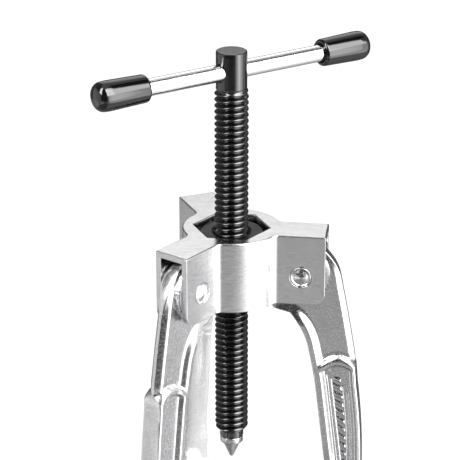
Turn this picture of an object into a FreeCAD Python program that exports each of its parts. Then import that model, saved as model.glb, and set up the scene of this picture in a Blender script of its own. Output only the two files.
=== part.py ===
import FreeCAD, Part
import math
import os
import Sketcher

"""Three-arm self-gripping gear puller, in millimetres.

The spindle stands along +Z. The origin is on its axis, at the shoulder where the thrust tip's
cone begins, and +X points along arm a. Arms b and c are arm a turned by 120 and 240 degrees.

Each arm swings on a pin through the yoke. A nose on its inner side sits in a slot of the floating
nut, so the three arms open and close together when the nut moves along the yoke.
"""

DRIVING_SIZES = {
    # yoke
    "yoke_top": 113.0, "yoke_depth": 34.5, "sheet": 3.0, "wing_reach": 45.3, "wing_width": 18.1,
    "channel_width": 12.3, "bulge_radius": 23.2, "bulge_inner_radius": 20.3,
    "hex_across_flats": 31.4, "wing_foot_round": 5.5, "bulge_blend": 4.0,
    # arm pivot
    "pivot_reach": 33.9, "pivot_drop": 20.6, "pin_radius": 4.0, "pin_head_radius": 4.8,
    "pin_head_height": 1.0, "pin_crown_inset": 1.6, "pin_crown_round": 2.4,
    "pin_rim_stand": 0.15, "pin_seat_radius": 5.2, "pin_seat_depth": 0.6, "running_gap": 0.06,
    "washer_radius": 12.5, "washer_thickness": 0.6,
    # arm forging
    "hub_radius": 13.5, "hub_width": 10.8, "plate_width": 8.0, "blade_width": 10.0,
    "claw_width": 13.0, "pocket_depth": 2.0, "head_radius": 15.6, "nose_radius": 3.3,
    "nose_reach": 14.5, "claw_face": -39.0, "claw_bottom": -52.0, "claw_tip_reach": 39.0,
    # nut
    "nut_radius": 15.5, "nut_sink": 2.3, "nut_length": 27.0, "nut_rim_chamfer": 1.0,
    "nut_mouth_radius": 9.6, "slot_width": 8.6, "slot_height": 7.0, "slot_floor": 10.8,
    # spindle
    "spindle_radius": 8.0, "thread_pitch": 3.0, "thread_root_radius": 6.35, "thread_root_flat": 0.75,
    "thread_crest_flat": 0.35, "thread_overcut": 0.15, "thread_top": 182.5, "thread_bottom": 8.6,
    "head_radius_top": 7.25, "head_top": 199.2, "head_chamfer": 0.5,
    "neck_radius": 5.7, "spindle_foot": 3.2, "tip_bore_depth": 18.0,
    # thrust tip
    "tip_collar_radius": 5.5, "tip_collar_height": 3.0, "tip_shank_radius": 3.0,
    "tip_cone_height": 8.5, "tip_point_radius": 0.8, "tip_cone_step": 1.0,
    "tip_shank_chamfer": 0.3, "ball_radius": 3.0, "ring_radius": 3.45,
    "ring_wire": 0.9, "ring_level": 9.0, "ring_groove": 0.5, "ring_play": 0.05, "ring_mouth": 1.6,
    # tommy bar
    "bar_radius": 4.0, "bar_level": 189.5, "bar_bearing": 40.9, "bar_length": 143.6,
    "bar_offset": 1.9, "bar_end_chamfer": 0.6,
    "cap_length": 27.0, "cap_wall_end": 3.0, "cap_mouth_radius": 6.4, "cap_radius": 6.95,
    "cap_round": 5.0, "cap_lip": 0.9,
}

doc = FreeCAD.newDocument("gear_puller")
sheet = doc.addObject("Spreadsheet::Sheet", "Sizes")


class Size:
    """A number that remembers the spreadsheet expression it was worked out from."""

    def __init__(self, value, text):
        self.value = value
        self.text = text

    @staticmethod
    def of(thing):
        return thing if isinstance(thing, Size) else Size(float(thing), repr(float(thing)))

    def __add__(self, other):
        other = Size.of(other)
        return Size(self.value + other.value, f"({self.text} + {other.text})")

    def __sub__(self, other):
        other = Size.of(other)
        return Size(self.value - other.value, f"({self.text} - {other.text})")

    def __mul__(self, other):
        other = Size.of(other)
        return Size(self.value * other.value, f"({self.text} * {other.text})")

    def __truediv__(self, other):
        other = Size.of(other)
        return Size(self.value / other.value, f"({self.text} / {other.text})")

    def __neg__(self):
        return Size(-self.value, f"(0 - {self.text})")

    __radd__ = __add__
    __rmul__ = __mul__


class Sizes:
    """Every driving size by name, as d.wing_reach."""


d = Sizes()
for row, (alias, number) in enumerate(DRIVING_SIZES.items(), start=1):
    sheet.set(f"A{row}", alias)
    sheet.set(f"B{row}", str(number))
    sheet.setAlias(f"B{row}", alias)
    setattr(d, alias, Size(number, f"Sizes.{alias}"))
doc.recompute()

PIVOT_LEVEL = d.yoke_top - d.pivot_drop
YOKE_FOOT = d.yoke_top - d.yoke_depth
ARM_BEARINGS = {"a": 0.0, "b": 120.0, "c": 240.0}


# ---------------------------------------------------------------- document helpers

def bind(thing, path, size):
    """Tie one property, such as Length or Constraints.width, to the sheet."""
    thing.setExpression(path, Size.of(size).text)


def new_body(label):
    body = doc.addObject("PartDesign::Body", label)
    body.Label = label
    return body


def origin_plane(body, role):
    return next(f for f in body.Origin.OriginFeatures if f.Role == role)


def new_sketch(body, name, role, lift=None):
    """A sketch on one of the body's origin planes, moved along the plane's normal by lift."""
    sketch = body.newObject("Sketcher::SketchObject", name)
    sketch.AttachmentSupport = [(origin_plane(body, role), "")]
    sketch.MapMode = "FlatFace"
    if lift is not None:
        bind(sketch, "AttachmentOffset.Base.z", lift)
    return sketch


def pin_point(sketch, geometry, point, x, y):
    """Fix one sketch point at (x, y), each coordinate tied to the sheet."""
    for kind, axis, size in (("DistanceX", -2, Size.of(x)), ("DistanceY", -1, Size.of(y))):
        if size.text == "0.0":
            sketch.addConstraint(Sketcher.Constraint("PointOnObject", geometry, point, axis))
            continue
        index = sketch.addConstraint(Sketcher.Constraint(kind, -1, 1, geometry, point, size.value))
        sketch.renameConstraint(index, f"{kind[-1]}{geometry}")
        bind(sketch, f"Constraints.{kind[-1]}{geometry}", size)


def draw_circle(sketch, x, y, radius):
    centre = FreeCAD.Vector(Size.of(x).value, Size.of(y).value, 0)
    up = FreeCAD.Vector(0, 0, 1)
    index = sketch.addGeometry(Part.Circle(centre, up, Size.of(radius).value), False)
    pin_point(sketch, index, 3, x, y)
    limit = sketch.addConstraint(Sketcher.Constraint("Radius", index, Size.of(radius).value))
    sketch.renameConstraint(limit, "radius")
    bind(sketch, "Constraints.radius", radius)


def arc_between(start, end, radius):
    """The minor arc from start to end; a positive radius turns left of the chord's direction."""
    chord = end - start
    half = chord.Length / 2
    normal = FreeCAD.Vector(-chord.y, chord.x, 0).normalize()
    turn = math.copysign(1.0, radius)
    reach = math.sqrt(max(radius * radius - half * half, 0.0))
    centre = start + chord * 0.5 + normal * reach * turn
    middle = centre - normal * abs(radius) * turn
    return Part.Arc(start, middle, end)


def draw_outline(sketch, corners):
    """A closed outline. A corner is (x, y), or (x, y, radius) where an arc of that radius arrives:
    positive for an arc that turns left along the way round, negative for one that turns right."""
    count = len(corners)
    points = [FreeCAD.Vector(Size.of(c[0]).value, Size.of(c[1]).value, 0) for c in corners]
    ends = []
    for i in range(count):
        arriving = corners[(i + 1) % count]
        start, end = points[i], points[(i + 1) % count]
        if len(arriving) == 3:
            radius = Size.of(arriving[2]).value
            index = sketch.addGeometry(arc_between(start, end, radius), False)
            # an arc runs counter-clockwise, so one that turns right is stored end first
            ends.append((1, 2) if radius > 0 else (2, 1))
        else:
            index = sketch.addGeometry(Part.LineSegment(start, end), False)
            ends.append((1, 2))
    for i in range(count):
        after = (i + 1) % count
        sketch.addConstraint(Sketcher.Constraint("Coincident", i, ends[i][1], after, ends[after][0]))
        pin_point(sketch, i, ends[i][0], corners[i][0], corners[i][1])
    for i in range(count):
        arriving = corners[(i + 1) % count]
        if len(arriving) == 3:
            radius = abs(Size.of(arriving[2]).value)
            index = sketch.addConstraint(Sketcher.Constraint("Radius", i, radius))
            sketch.renameConstraint(index, f"arc{i}")


def pad(body, name, sketch, length, both_ways=False):
    feature = body.newObject("PartDesign::Pad", name)
    feature.Profile = sketch
    feature.SideType = "Symmetric" if both_ways else "One side"
    bind(feature, "Length", length)
    return feature


def pocket(body, name, sketch, length, both_ways=False, turned=False):
    feature = body.newObject("PartDesign::Pocket", name)
    feature.Profile = sketch
    feature.SideType = "Symmetric" if both_ways else "One side"
    feature.Reversed = turned
    bind(feature, "Length", length)
    return feature


def around_z(body, name, features):
    """Repeat features three times around the spindle axis."""
    pattern = body.newObject("PartDesign::PolarPattern", name)
    pattern.Originals = features
    pattern.Axis = (next(f for f in body.Origin.OriginFeatures if f.Role == "Z_Axis"), [""])
    pattern.Angle = 360
    pattern.Occurrences = len(ARM_BEARINGS)
    body.Tip = pattern
    doc.recompute()
    return pattern


def revolve(body, name, corners):
    """A solid turned about the body's own Z axis from (radius, level) corners."""
    sketch = new_sketch(body, name + "_profile", "XZ_Plane")
    draw_outline(sketch, corners)
    feature = body.newObject("PartDesign::Revolution", name)
    feature.Profile = sketch
    feature.ReferenceAxis = (sketch, ["V_Axis"])
    feature.Angle = 360
    return feature


def edges_where(feature, test):
    """Names of the edges whose both ends and middle pass a test."""
    names = []
    for number, edge in enumerate(feature.Shape.Edges, start=1):
        middle = edge.valueAt((edge.FirstParameter + edge.LastParameter) / 2)
        points = [v.Point for v in edge.Vertexes] + [middle]
        if all(test(p) for p in points):
            names.append(f"Edge{number}")
    return names


def dress(body, kind, name, feature, size, test):
    """Fillet or chamfer the edges that pass a test."""
    doc.recompute()
    edges = edges_where(feature, test)
    if not edges:
        raise RuntimeError(f"{name}: no edge passes the test")
    dressed = body.newObject(f"PartDesign::{kind}", name)
    dressed.Base = (feature, edges)
    bind(dressed, "Radius" if kind == "Fillet" else "Size", size)
    doc.recompute()
    return dressed


def turn_about_spindle(body, bearing):
    body.Placement = FreeCAD.Placement(FreeCAD.Vector(), FreeCAD.Rotation(FreeCAD.Vector(0, 0, 1), bearing))


def at(value, target, slack=0.01):
    return abs(value - target) < slack


# ---------------------------------------------------------------- yoke

def rectangle(x_low, x_high, y_low, y_high):
    return [(x_low, y_low), (x_high, y_low), (x_high, y_high), (x_low, y_high)]


def make_yoke():
    """A top plate with three wings, each a channel that is open below and at its outer end."""
    body = new_body("yoke")
    half_wing = d.wing_width / 2
    half_channel = d.channel_width / 2
    past_end = d.wing_reach + 5

    bulge_sketch = new_sketch(body, "bulge_outline", "XY_Plane", YOKE_FOOT)
    draw_circle(bulge_sketch, 0, 0, d.bulge_radius)
    pad(body, "bulge", bulge_sketch, d.yoke_depth)
    wing_sketch = new_sketch(body, "wing_outline", "XY_Plane", YOKE_FOOT)
    draw_outline(wing_sketch, rectangle(0, d.wing_reach, -half_wing, half_wing))
    wing = pad(body, "wing", wing_sketch, d.yoke_depth)
    wings = around_z(body, "wings", [wing])

    foot = YOKE_FOOT.value
    reach = d.wing_reach.value

    def at_wing_foot(p):
        radial = max(p.x * math.cos(math.radians(b)) + p.y * math.sin(math.radians(b))
                     for b in ARM_BEARINGS.values())
        return at(p.z, foot) and at(radial, reach)

    feet = dress(body, "Fillet", "wing_feet", wings, d.wing_foot_round, at_wing_foot)
    corner = math.hypot(math.sqrt(d.bulge_radius.value ** 2 - half_wing.value ** 2), half_wing.value)

    def at_bulge_corner(p):
        return at(math.hypot(p.x, p.y), corner) and foot - 0.01 < p.z < d.yoke_top.value + 0.01

    blend = dress(body, "Fillet", "bulge_blends", feet, d.bulge_blend,
                  lambda p: at_bulge_corner(p) and not on_arc_of_bulge(p, half_wing.value))
    body.Tip = blend

    well_sketch = new_sketch(body, "well_outline", "XY_Plane", YOKE_FOOT)
    draw_circle(well_sketch, 0, 0, d.bulge_inner_radius)
    pocket(body, "well", well_sketch, d.yoke_depth - d.sheet, turned=True)
    channel_sketch = new_sketch(body, "channel_outline", "XY_Plane", YOKE_FOOT)
    draw_outline(channel_sketch, rectangle(0, past_end, -half_channel, half_channel))
    channel = pocket(body, "channel", channel_sketch, d.yoke_depth - d.sheet, turned=True)
    pin_sketch = new_sketch(body, "pin_hole_outline", "XZ_Plane")
    draw_circle(pin_sketch, d.pivot_reach, PIVOT_LEVEL, d.pin_radius)
    pin_hole = pocket(body, "pin_hole", pin_sketch, d.wing_width + 2, both_ways=True)
    seats = []
    for side, turned in (("front", False), ("back", True)):
        floor = half_wing - d.pin_seat_depth
        seat_sketch = new_sketch(body, f"{side}_seat_outline", "XZ_Plane", -floor if turned else floor)
        draw_circle(seat_sketch, d.pivot_reach, PIVOT_LEVEL, d.pin_seat_radius)
        seats.append(pocket(body, f"{side}_pin_seat", seat_sketch, d.pin_seat_depth * 2, turned=not turned))
    around_z(body, "channels_and_holes", [channel, pin_hole] + seats)

    hexagon_sketch = new_sketch(body, "nut_window_outline", "XY_Plane", YOKE_FOOT)
    corner_radius = d.hex_across_flats / math.sqrt(3)
    turns = [math.radians(60 * k) for k in range(6)]
    corners = [(corner_radius * round(math.cos(turn), 6), corner_radius * round(math.sin(turn), 6))
               for turn in turns]
    draw_outline(hexagon_sketch, corners)
    body.Tip = pocket(body, "nut_window", hexagon_sketch, d.yoke_depth + 1, turned=True)
    return body


def on_arc_of_bulge(p, half_wing):
    """True for a point of the bulge's rim that is not in the corner beside a wing."""
    return min(abs(-p.x * math.sin(math.radians(b)) + p.y * math.cos(math.radians(b)))
               for b in ARM_BEARINGS.values()) < half_wing - 0.05


# ---------------------------------------------------------------- pins and washers

def make_pivot_pin(bearing):
    """A pin lying across the wing, with both ends peened over in seats sunk into the flanges."""
    body = new_body("pivot_pin_" + bearing)
    half = d.wing_width / 2
    seat = half - d.pin_seat_depth
    crown = half + d.pin_head_height
    rim = half + d.pin_rim_stand
    head, flat = d.pin_head_radius, d.pin_head_radius - d.pin_crown_inset
    revolve(body, "turned_pin", [
        (0, -crown), (flat, -crown), (head, -rim, d.pin_crown_round), (head, -seat),
        (d.pin_radius, -seat), (d.pin_radius, seat), (head, seat), (head, rim),
        (flat, crown, d.pin_crown_round), (0, crown)])
    angle = ARM_BEARINGS[bearing]
    body.Placement = FreeCAD.Placement(pivot_centre(angle, 0.0), along_pivot(angle))
    return body


def along_pivot(angle):
    """The turn that lays a body's own Z axis along an arm's pivot axis."""
    bearing = FreeCAD.Rotation(FreeCAD.Vector(0, 0, 1), angle)
    return bearing * FreeCAD.Rotation(FreeCAD.Vector(1, 0, 0), 90)


def pivot_centre(angle, across):
    """A point on an arm's pivot axis, so far to the left of the arm's middle plane."""
    turn = FreeCAD.Rotation(FreeCAD.Vector(0, 0, 1), angle)
    return turn.multVec(FreeCAD.Vector(d.pivot_reach.value, across, PIVOT_LEVEL.value))


def make_washer(bearing, side):
    """A thin spring-steel ring between the arm's hub and one flange of the wing."""
    body = new_body(f"friction_washer_{bearing}{1 if side > 0 else 2}")
    bore = d.pin_radius + d.running_gap
    half = d.washer_thickness / 2
    revolve(body, "ring", rectangle(bore, d.washer_radius, -half, half))
    middle = (d.hub_width.value / 2 + d.channel_width.value / 2) / 2
    angle = ARM_BEARINGS[bearing]
    body.Placement = FreeCAD.Placement(pivot_centre(angle, side * middle), along_pivot(angle))
    return body


# ---------------------------------------------------------------- arms

def make_arm(bearing):
    """A drop-forged arm: a head with a round hub and a nose, a bowed blade and a claw.

    Head and blade outlines are measured from the pivot, the claw's from its tip and its face.
    """
    body = new_body("arm_" + bearing)
    x, z = d.pivot_reach, PIVOT_LEVEL
    tip, face, bottom = d.claw_tip_reach, d.claw_face, d.claw_bottom
    head_foot = z - 51

    head_sketch = new_sketch(body, "head_outline", "XZ_Plane")
    draw_outline(head_sketch, [
        (x + 8.5, head_foot), (x + 25.9, head_foot), (x + 25.6, z - 41), (x + 18.4, z - 1.8),
        (x + 12.4, z + 9.4, 24),
        (x - 5, z + 14.777, d.head_radius), (x - 13.5, z + 7), (x - 17, z + 2.6, -6),
        (d.nose_reach, z + d.nose_radius), (d.nose_reach, z - d.nose_radius, d.nose_radius + 0.001),
        (x - 16.6, z - 3.1), (x - 14.2, z - 6, -3.2), (x - 14.2, z - 16.8), (x - 12.3, z - 19, 2.6),
        (x - 5.5, z - 20.5), (x + 3.6, z - 38.2, -34), (x + 5.7, z - 48.6, -250)])
    head = pad(body, "head", head_sketch, d.plate_width, both_ways=True)
    hub_sketch = new_sketch(body, "hub_outline", "XZ_Plane")
    draw_circle(hub_sketch, x, z, d.hub_radius)
    pad(body, "hub", hub_sketch, d.hub_width, both_ways=True)

    blade_sketch = new_sketch(body, "blade_outline", "XZ_Plane")
    draw_outline(blade_sketch, [
        (x + 13.6, face + 14), (tip + 24.4, face + 14), (x + 29.9, face + 26, 90),
        (x + 26.3, z - 49, 330), (x + 26.1, z - 47), (x + 16, z - 43.8, 30), (x + 5.7, z - 48.6, 22),
        (x + 7.1, z - 57, -250)])
    pad(body, "blade", blade_sketch, d.blade_width, both_ways=True)

    claw_sketch = new_sketch(body, "claw_outline", "XZ_Plane")
    draw_outline(claw_sketch, [
        (tip, face), (tip, face - 4.5), (tip + 2.2, face - 7.6, 4), (tip + 11, bottom),
        (tip + 18, bottom + 2.5, 9), (tip + 24.4, face + 14, 40), (x + 13.6, face + 14),
        (tip + 10.5, face + 3), (tip + 7.5, face, -3)])
    pad(body, "claw", claw_sketch, d.claw_width, both_ways=True)

    floor = d.blade_width / 2 - d.pocket_depth
    for side, turned in (("front", False), ("back", True)):
        panel_sketch = new_sketch(body, side + "_pocket_outline", "XZ_Plane", -floor if turned else floor)
        draw_outline(panel_sketch, [
            (x + 16.4, face + 24), (x + 26.3, face + 28, 8), (x + 25.4, face + 55, 330),
            (x + 23.4, z - 48.8), (x + 9.5, z - 49.6, 12)])
        pocket(body, side + "_pocket", panel_sketch, d.pocket_depth * 2, turned=not turned)
    bore_sketch = new_sketch(body, "bore_outline", "XZ_Plane")
    draw_circle(bore_sketch, x, z, d.pin_radius + d.running_gap)
    body.Tip = pocket(body, "bore", bore_sketch, d.claw_width + 2, both_ways=True)
    turn_about_spindle(body, ARM_BEARINGS[bearing])
    return body


# ---------------------------------------------------------------- nut

def make_nut():
    """The floating nut: a plain round body with three slots that the arm noses sit in."""
    body = new_body("threaded_nut")
    top = d.yoke_top - d.nut_sink
    bottom = top - d.nut_length
    bore = d.spindle_radius + d.running_gap
    rim = d.nut_rim_chamfer
    mouth = d.nut_mouth_radius
    revolve(body, "turned_nut", [
        (bore, bottom + (mouth - bore)), (mouth, bottom), (d.nut_radius - rim, bottom),
        (d.nut_radius, bottom + rim), (d.nut_radius, top - rim), (d.nut_radius - rim, top),
        (mouth, top), (bore, top - (mouth - bore))])
    slot_sketch = new_sketch(body, "slot_outline", "XZ_Plane")
    half = d.slot_height / 2
    low, high = PIVOT_LEVEL - half, PIVOT_LEVEL + half
    draw_outline(slot_sketch, rectangle(d.slot_floor, d.nut_radius + 2, low, high))
    slot = pocket(body, "slot", slot_sketch, d.slot_width, both_ways=True)
    around_z(body, "slots", [slot])
    return body


# ---------------------------------------------------------------- spindle

def make_spindle():
    """A right-handed V thread with a plain head, a cross-hole and a hollow foot."""
    body = new_body("spindle")
    run_out = d.spindle_radius - d.head_radius_top
    revolve(body, "turned_spindle", [
        (0, d.spindle_foot), (d.neck_radius, d.spindle_foot),
        (d.neck_radius, d.thread_bottom - (d.spindle_radius - d.neck_radius)),
        (d.spindle_radius, d.thread_bottom), (d.spindle_radius, d.thread_top - run_out),
        (d.head_radius_top, d.thread_top), (d.head_radius_top, d.head_top - d.head_chamfer),
        (d.head_radius_top - d.head_chamfer, d.head_top), (0, d.head_top)])

    groove_sketch = new_sketch(body, "groove_outline", "XZ_Plane")
    root, outside = d.thread_root_radius, d.spindle_radius + d.thread_overcut
    root_half, crest_half = d.thread_root_flat / 2, (d.thread_pitch - d.thread_crest_flat) / 2
    flank = (crest_half - root_half) / (d.spindle_radius - root)
    mouth_half = root_half + flank * (outside - root)
    start = d.thread_bottom - d.thread_pitch * 2
    draw_outline(groove_sketch, [
        (root, start - root_half), (outside, start - mouth_half),
        (outside, start + mouth_half), (root, start + root_half)])
    helix = body.newObject("PartDesign::SubtractiveHelix", "thread_groove")
    helix.Profile = groove_sketch
    helix.ReferenceAxis = (groove_sketch, ["V_Axis"])
    helix.Mode = "pitch-height-angle"
    bind(helix, "Pitch", d.thread_pitch)
    bind(helix, "Height", d.thread_top - start - d.thread_pitch * 0.5)

    bore_sketch = new_sketch(body, "tip_bore_outline", "XY_Plane", d.spindle_foot)
    draw_circle(bore_sketch, 0, 0, d.tip_shank_radius + d.running_gap)
    pocket(body, "tip_bore", bore_sketch, d.tip_bore_depth, turned=True)
    seat_radius, seat_width = d.ring_radius + d.ring_play, d.ring_wire + d.ring_play * 2
    revolve_groove(body, "ring_seat", seat_radius, d.ring_level, seat_width)

    hole_sketch = new_sketch(body, "bar_hole_outline", "YZ_Plane")
    draw_circle(hole_sketch, 0, d.bar_level, d.bar_radius + d.running_gap)
    hole = pocket(body, "bar_hole", hole_sketch, d.head_radius_top * 4, both_ways=True)
    # the hole is drawn along X and turned about the sketch's own upright to the bar's bearing
    upright = FreeCAD.Vector(0, 1, 0)
    hole_sketch.AttachmentOffset = FreeCAD.Placement(
        FreeCAD.Vector(), FreeCAD.Rotation(upright, d.bar_bearing.value))
    bind(hole_sketch, "AttachmentOffset.Rotation.Angle", d.bar_bearing)
    body.Tip = hole
    return body


def revolve_groove(body, name, radius, level, width):
    """A ring-shaped groove cut into the wall of a bore on the body's axis."""
    sketch = new_sketch(body, name + "_outline", "XZ_Plane")
    draw_outline(sketch, rectangle(0, radius, level - width / 2, level + width / 2))
    groove = body.newObject("PartDesign::Groove", name)
    groove.Profile = sketch
    groove.ReferenceAxis = (sketch, ["V_Axis"])
    groove.Angle = 360


def make_thrust_tip():
    """The live centre: a shank held in the spindle's foot, a collar and a hardened cone."""
    body = new_body("thrust_tip")
    collar, shank = d.tip_collar_height, d.tip_shank_radius
    groove_low = d.ring_level - d.ring_wire / 2 - d.ring_play
    groove_high = d.ring_level + d.ring_wire / 2 + d.ring_play
    shank_top = d.spindle_foot + d.tip_bore_depth - d.ball_radius * 2
    ease = d.tip_shank_chamfer
    revolve(body, "turned_tip", [
        (0, -d.tip_cone_height), (d.tip_point_radius, -d.tip_cone_height),
        (d.tip_collar_radius - d.tip_cone_step, 0), (d.tip_collar_radius, 0), (d.tip_collar_radius, collar),
        (shank, collar), (shank, groove_low), (shank - d.ring_groove, groove_low),
        (shank - d.ring_groove, groove_high), (shank, groove_high), (shank, shank_top - ease),
        (shank - ease, shank_top), (0, shank_top)])
    return body


def make_thrust_ball():
    """The ball that carries the thrust between the spindle and the tip's shank."""
    ball = doc.addObject("Part::Sphere", "thrust_ball")
    bind(ball, "Radius", d.ball_radius)
    bind(ball, "Placement.Base.z", d.spindle_foot + d.tip_bore_depth - d.ball_radius)
    return ball


def make_retaining_ring():
    """An open snap ring that keeps the tip's shank in the spindle."""
    outer = doc.addObject("Part::Cylinder", "ring_blank")
    bind(outer, "Radius", d.ring_radius)
    inner = doc.addObject("Part::Cylinder", "ring_bore")
    bind(inner, "Radius", d.tip_shank_radius - d.ring_groove + d.ring_play)
    gap = doc.addObject("Part::Box", "ring_gap")
    bind(gap, "Length", d.ring_radius + 1)
    bind(gap, "Width", d.ring_mouth)
    bind(gap, "Placement.Base.y", -d.ring_mouth / 2)
    for blank in (outer, inner):
        bind(blank, "Height", d.ring_wire)
    bind(gap, "Height", d.ring_wire)
    for blank in (outer, inner, gap):
        bind(blank, "Placement.Base.z", d.ring_level - d.ring_wire / 2)
    tool = doc.addObject("Part::Fuse", "ring_cuts")
    tool.Base, tool.Tool = inner, gap
    ring = doc.addObject("Part::Cut", "tip_retaining_ring")
    ring.Base, ring.Tool = outer, tool
    return ring


# ---------------------------------------------------------------- tommy bar

def along_bar(body):
    """Lay a body turned about its own Z axis along the tommy bar."""
    bearing = FreeCAD.Rotation(FreeCAD.Vector(0, 0, 1), d.bar_bearing.value)
    flat = FreeCAD.Rotation(FreeCAD.Vector(0, 1, 0), 90)
    shift = bearing.multVec(FreeCAD.Vector(d.bar_offset.value, 0, d.bar_level.value))
    body.Placement = FreeCAD.Placement(shift, bearing * flat)


def make_tommy_bar():
    body = new_body("tommy_bar")
    half, ease = d.bar_length / 2, d.bar_end_chamfer
    revolve(body, "turned_bar", [
        (0, -half), (d.bar_radius - ease, -half), (d.bar_radius, -half + ease),
        (d.bar_radius, half - ease), (d.bar_radius - ease, half), (0, half)])
    along_bar(body)
    return body


def make_bar_cap(number, way):
    """A domed plastic cap pressed over one end of the bar; way is +1 or -1 along the bar."""
    body = new_body(f"bar_cap_{number}")
    tip = (d.bar_length / 2 + d.cap_wall_end) * way
    mouth = tip - d.cap_length * way
    inner = d.bar_length / 2 * way
    lip = d.cap_lip
    dome = d.cap_round
    shoulder = dome * 0.32
    bow = dome * 1.12 * way
    revolve(body, "turned_cap", [
        (0, tip), (0, inner), (d.bar_radius, inner), (d.bar_radius, mouth + lip * way),
        (d.bar_radius + lip, mouth), (d.cap_mouth_radius - lip, mouth),
        (d.cap_mouth_radius, mouth + lip * way), (d.cap_radius, tip - dome * 1.3 * way),
        (d.cap_radius - shoulder, tip - shoulder * way, bow), (d.cap_radius - dome, tip, bow)])
    along_bar(body)
    return body


# ---------------------------------------------------------------- build, check and export

sub_parts = [make_yoke(), make_nut(), make_spindle(), make_thrust_tip(), make_thrust_ball(),
             make_retaining_ring(), make_tommy_bar(), make_bar_cap(1, -1), make_bar_cap(2, 1)]
for bearing in ARM_BEARINGS:
    sub_parts.append(make_arm(bearing))
    sub_parts.append(make_pivot_pin(bearing))
    sub_parts += [make_washer(bearing, 1), make_washer(bearing, -1)]

doc.recompute()
for thing in doc.Objects:
    if "Invalid" in thing.State or "Error" in thing.State:
        raise RuntimeError(f"{thing.Label} failed: {thing.State}")
for part in sub_parts:
    if part.Shape.isNull() or not part.Shape.isValid() or len(part.Shape.Solids) != 1:
        raise RuntimeError(f"{part.Label} is not one valid solid")

os.makedirs("parts", exist_ok=True)
for part in sub_parts:
    part.Shape.exportStep(os.path.join("parts", part.Label + ".step"))
    print(part.Label, round(part.Shape.Volume, 1), part.Shape.BoundBox)
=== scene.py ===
"""Looks of a three-arm gear puller: meshes, finishes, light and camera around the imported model.

Shapes are worked out in millimetres and written to Blender in metres. Places and overall sizes
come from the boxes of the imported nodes, and outlines that a box can't give are named numbers here.
"""
import math

import bmesh
import bpy
import numpy as np
from mathutils import Matrix, Vector
from mathutils.geometry import delaunay_2d_cdt


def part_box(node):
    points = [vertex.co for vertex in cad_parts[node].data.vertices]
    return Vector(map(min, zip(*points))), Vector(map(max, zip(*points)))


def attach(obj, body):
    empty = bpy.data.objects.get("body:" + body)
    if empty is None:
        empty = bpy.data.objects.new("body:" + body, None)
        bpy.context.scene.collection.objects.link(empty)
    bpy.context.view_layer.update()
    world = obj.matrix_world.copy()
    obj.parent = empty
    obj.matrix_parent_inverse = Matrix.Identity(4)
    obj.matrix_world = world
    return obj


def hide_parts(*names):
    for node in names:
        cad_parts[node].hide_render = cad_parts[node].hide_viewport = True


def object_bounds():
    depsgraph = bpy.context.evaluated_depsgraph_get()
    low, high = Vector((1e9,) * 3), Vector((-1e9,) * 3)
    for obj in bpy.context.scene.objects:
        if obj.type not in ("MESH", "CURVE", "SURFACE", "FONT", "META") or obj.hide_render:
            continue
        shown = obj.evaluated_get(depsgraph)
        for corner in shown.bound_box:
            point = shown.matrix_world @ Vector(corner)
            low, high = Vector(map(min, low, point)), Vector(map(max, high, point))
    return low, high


MM = 0.001
TURN = 2 * math.pi

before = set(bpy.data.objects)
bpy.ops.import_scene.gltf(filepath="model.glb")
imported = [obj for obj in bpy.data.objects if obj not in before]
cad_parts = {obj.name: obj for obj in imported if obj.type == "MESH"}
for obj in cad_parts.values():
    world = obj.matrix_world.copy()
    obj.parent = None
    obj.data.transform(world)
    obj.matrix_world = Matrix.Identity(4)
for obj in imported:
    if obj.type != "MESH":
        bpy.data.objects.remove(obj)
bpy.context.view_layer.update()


# ------------------------------------------------------------------ places read from the model

def box_mm(node):
    """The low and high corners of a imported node's box, in millimetres."""
    low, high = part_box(node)
    return np.array(low) / MM, np.array(high) / MM


def middle_mm(node):
    """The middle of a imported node's box, in millimetres."""
    low, high = box_mm(node)
    return (low + high) / 2


YOKE_TOP = box_mm("yoke")[1][2]
PIVOT = middle_mm("pivot_pin_a")
BEARINGS = {"a": 0.0, "b": TURN / 3, "c": 2 * TURN / 3}
# edges of a top face farther than this from the axis belong to its outer rim
RIM_FROM_AXIS = 12.0
# in metres: points closer than these are one point, on an own mesh and on a packed one
SAME_POINT, SAME_PACKED_POINT = 1e-7, 2e-6
SAME_LEVEL = 1e-5
FLAT_ANGLE = math.radians(0.6)


# ------------------------------------------------------------------ mesh helpers

def new_piece(name, vertices, faces, body, node, material, crease=35.0):
    """A mesh given in millimetres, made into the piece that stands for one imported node; edges
    sharper than crease degrees stay sharp."""
    mesh = bpy.data.meshes.new(name)
    mesh.from_pydata([tuple(v) for v in np.asarray(vertices) * MM], [], [tuple(f) for f in faces])
    mesh.validate()
    piece = bpy.data.objects.new(name, mesh)
    bpy.context.scene.collection.objects.link(piece)
    return finish_piece(piece, body, node, material, crease)


def weld(mesh):
    """A bmesh of the mesh with double points joined and every face turned outward."""
    work = bmesh.new()
    work.from_mesh(mesh)
    bmesh.ops.remove_doubles(work, verts=work.verts, dist=SAME_POINT)
    bmesh.ops.recalc_face_normals(work, faces=work.faces)
    return work


def finish_piece(piece, body, node, material, crease=35.0):
    """Weld and shade a piece, give it its material and put it on its body."""
    work = weld(piece.data)
    for face in work.faces:
        face.smooth = True
    for edge in work.edges:
        edge.smooth = len(edge.link_faces) < 2 or edge.calc_face_angle(0.0) < math.radians(crease)
    work.to_mesh(piece.data)
    work.free()
    piece.data.materials.clear()
    piece.data.materials.append(material)
    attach(piece, body)
    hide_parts(node)
    return piece


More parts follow.
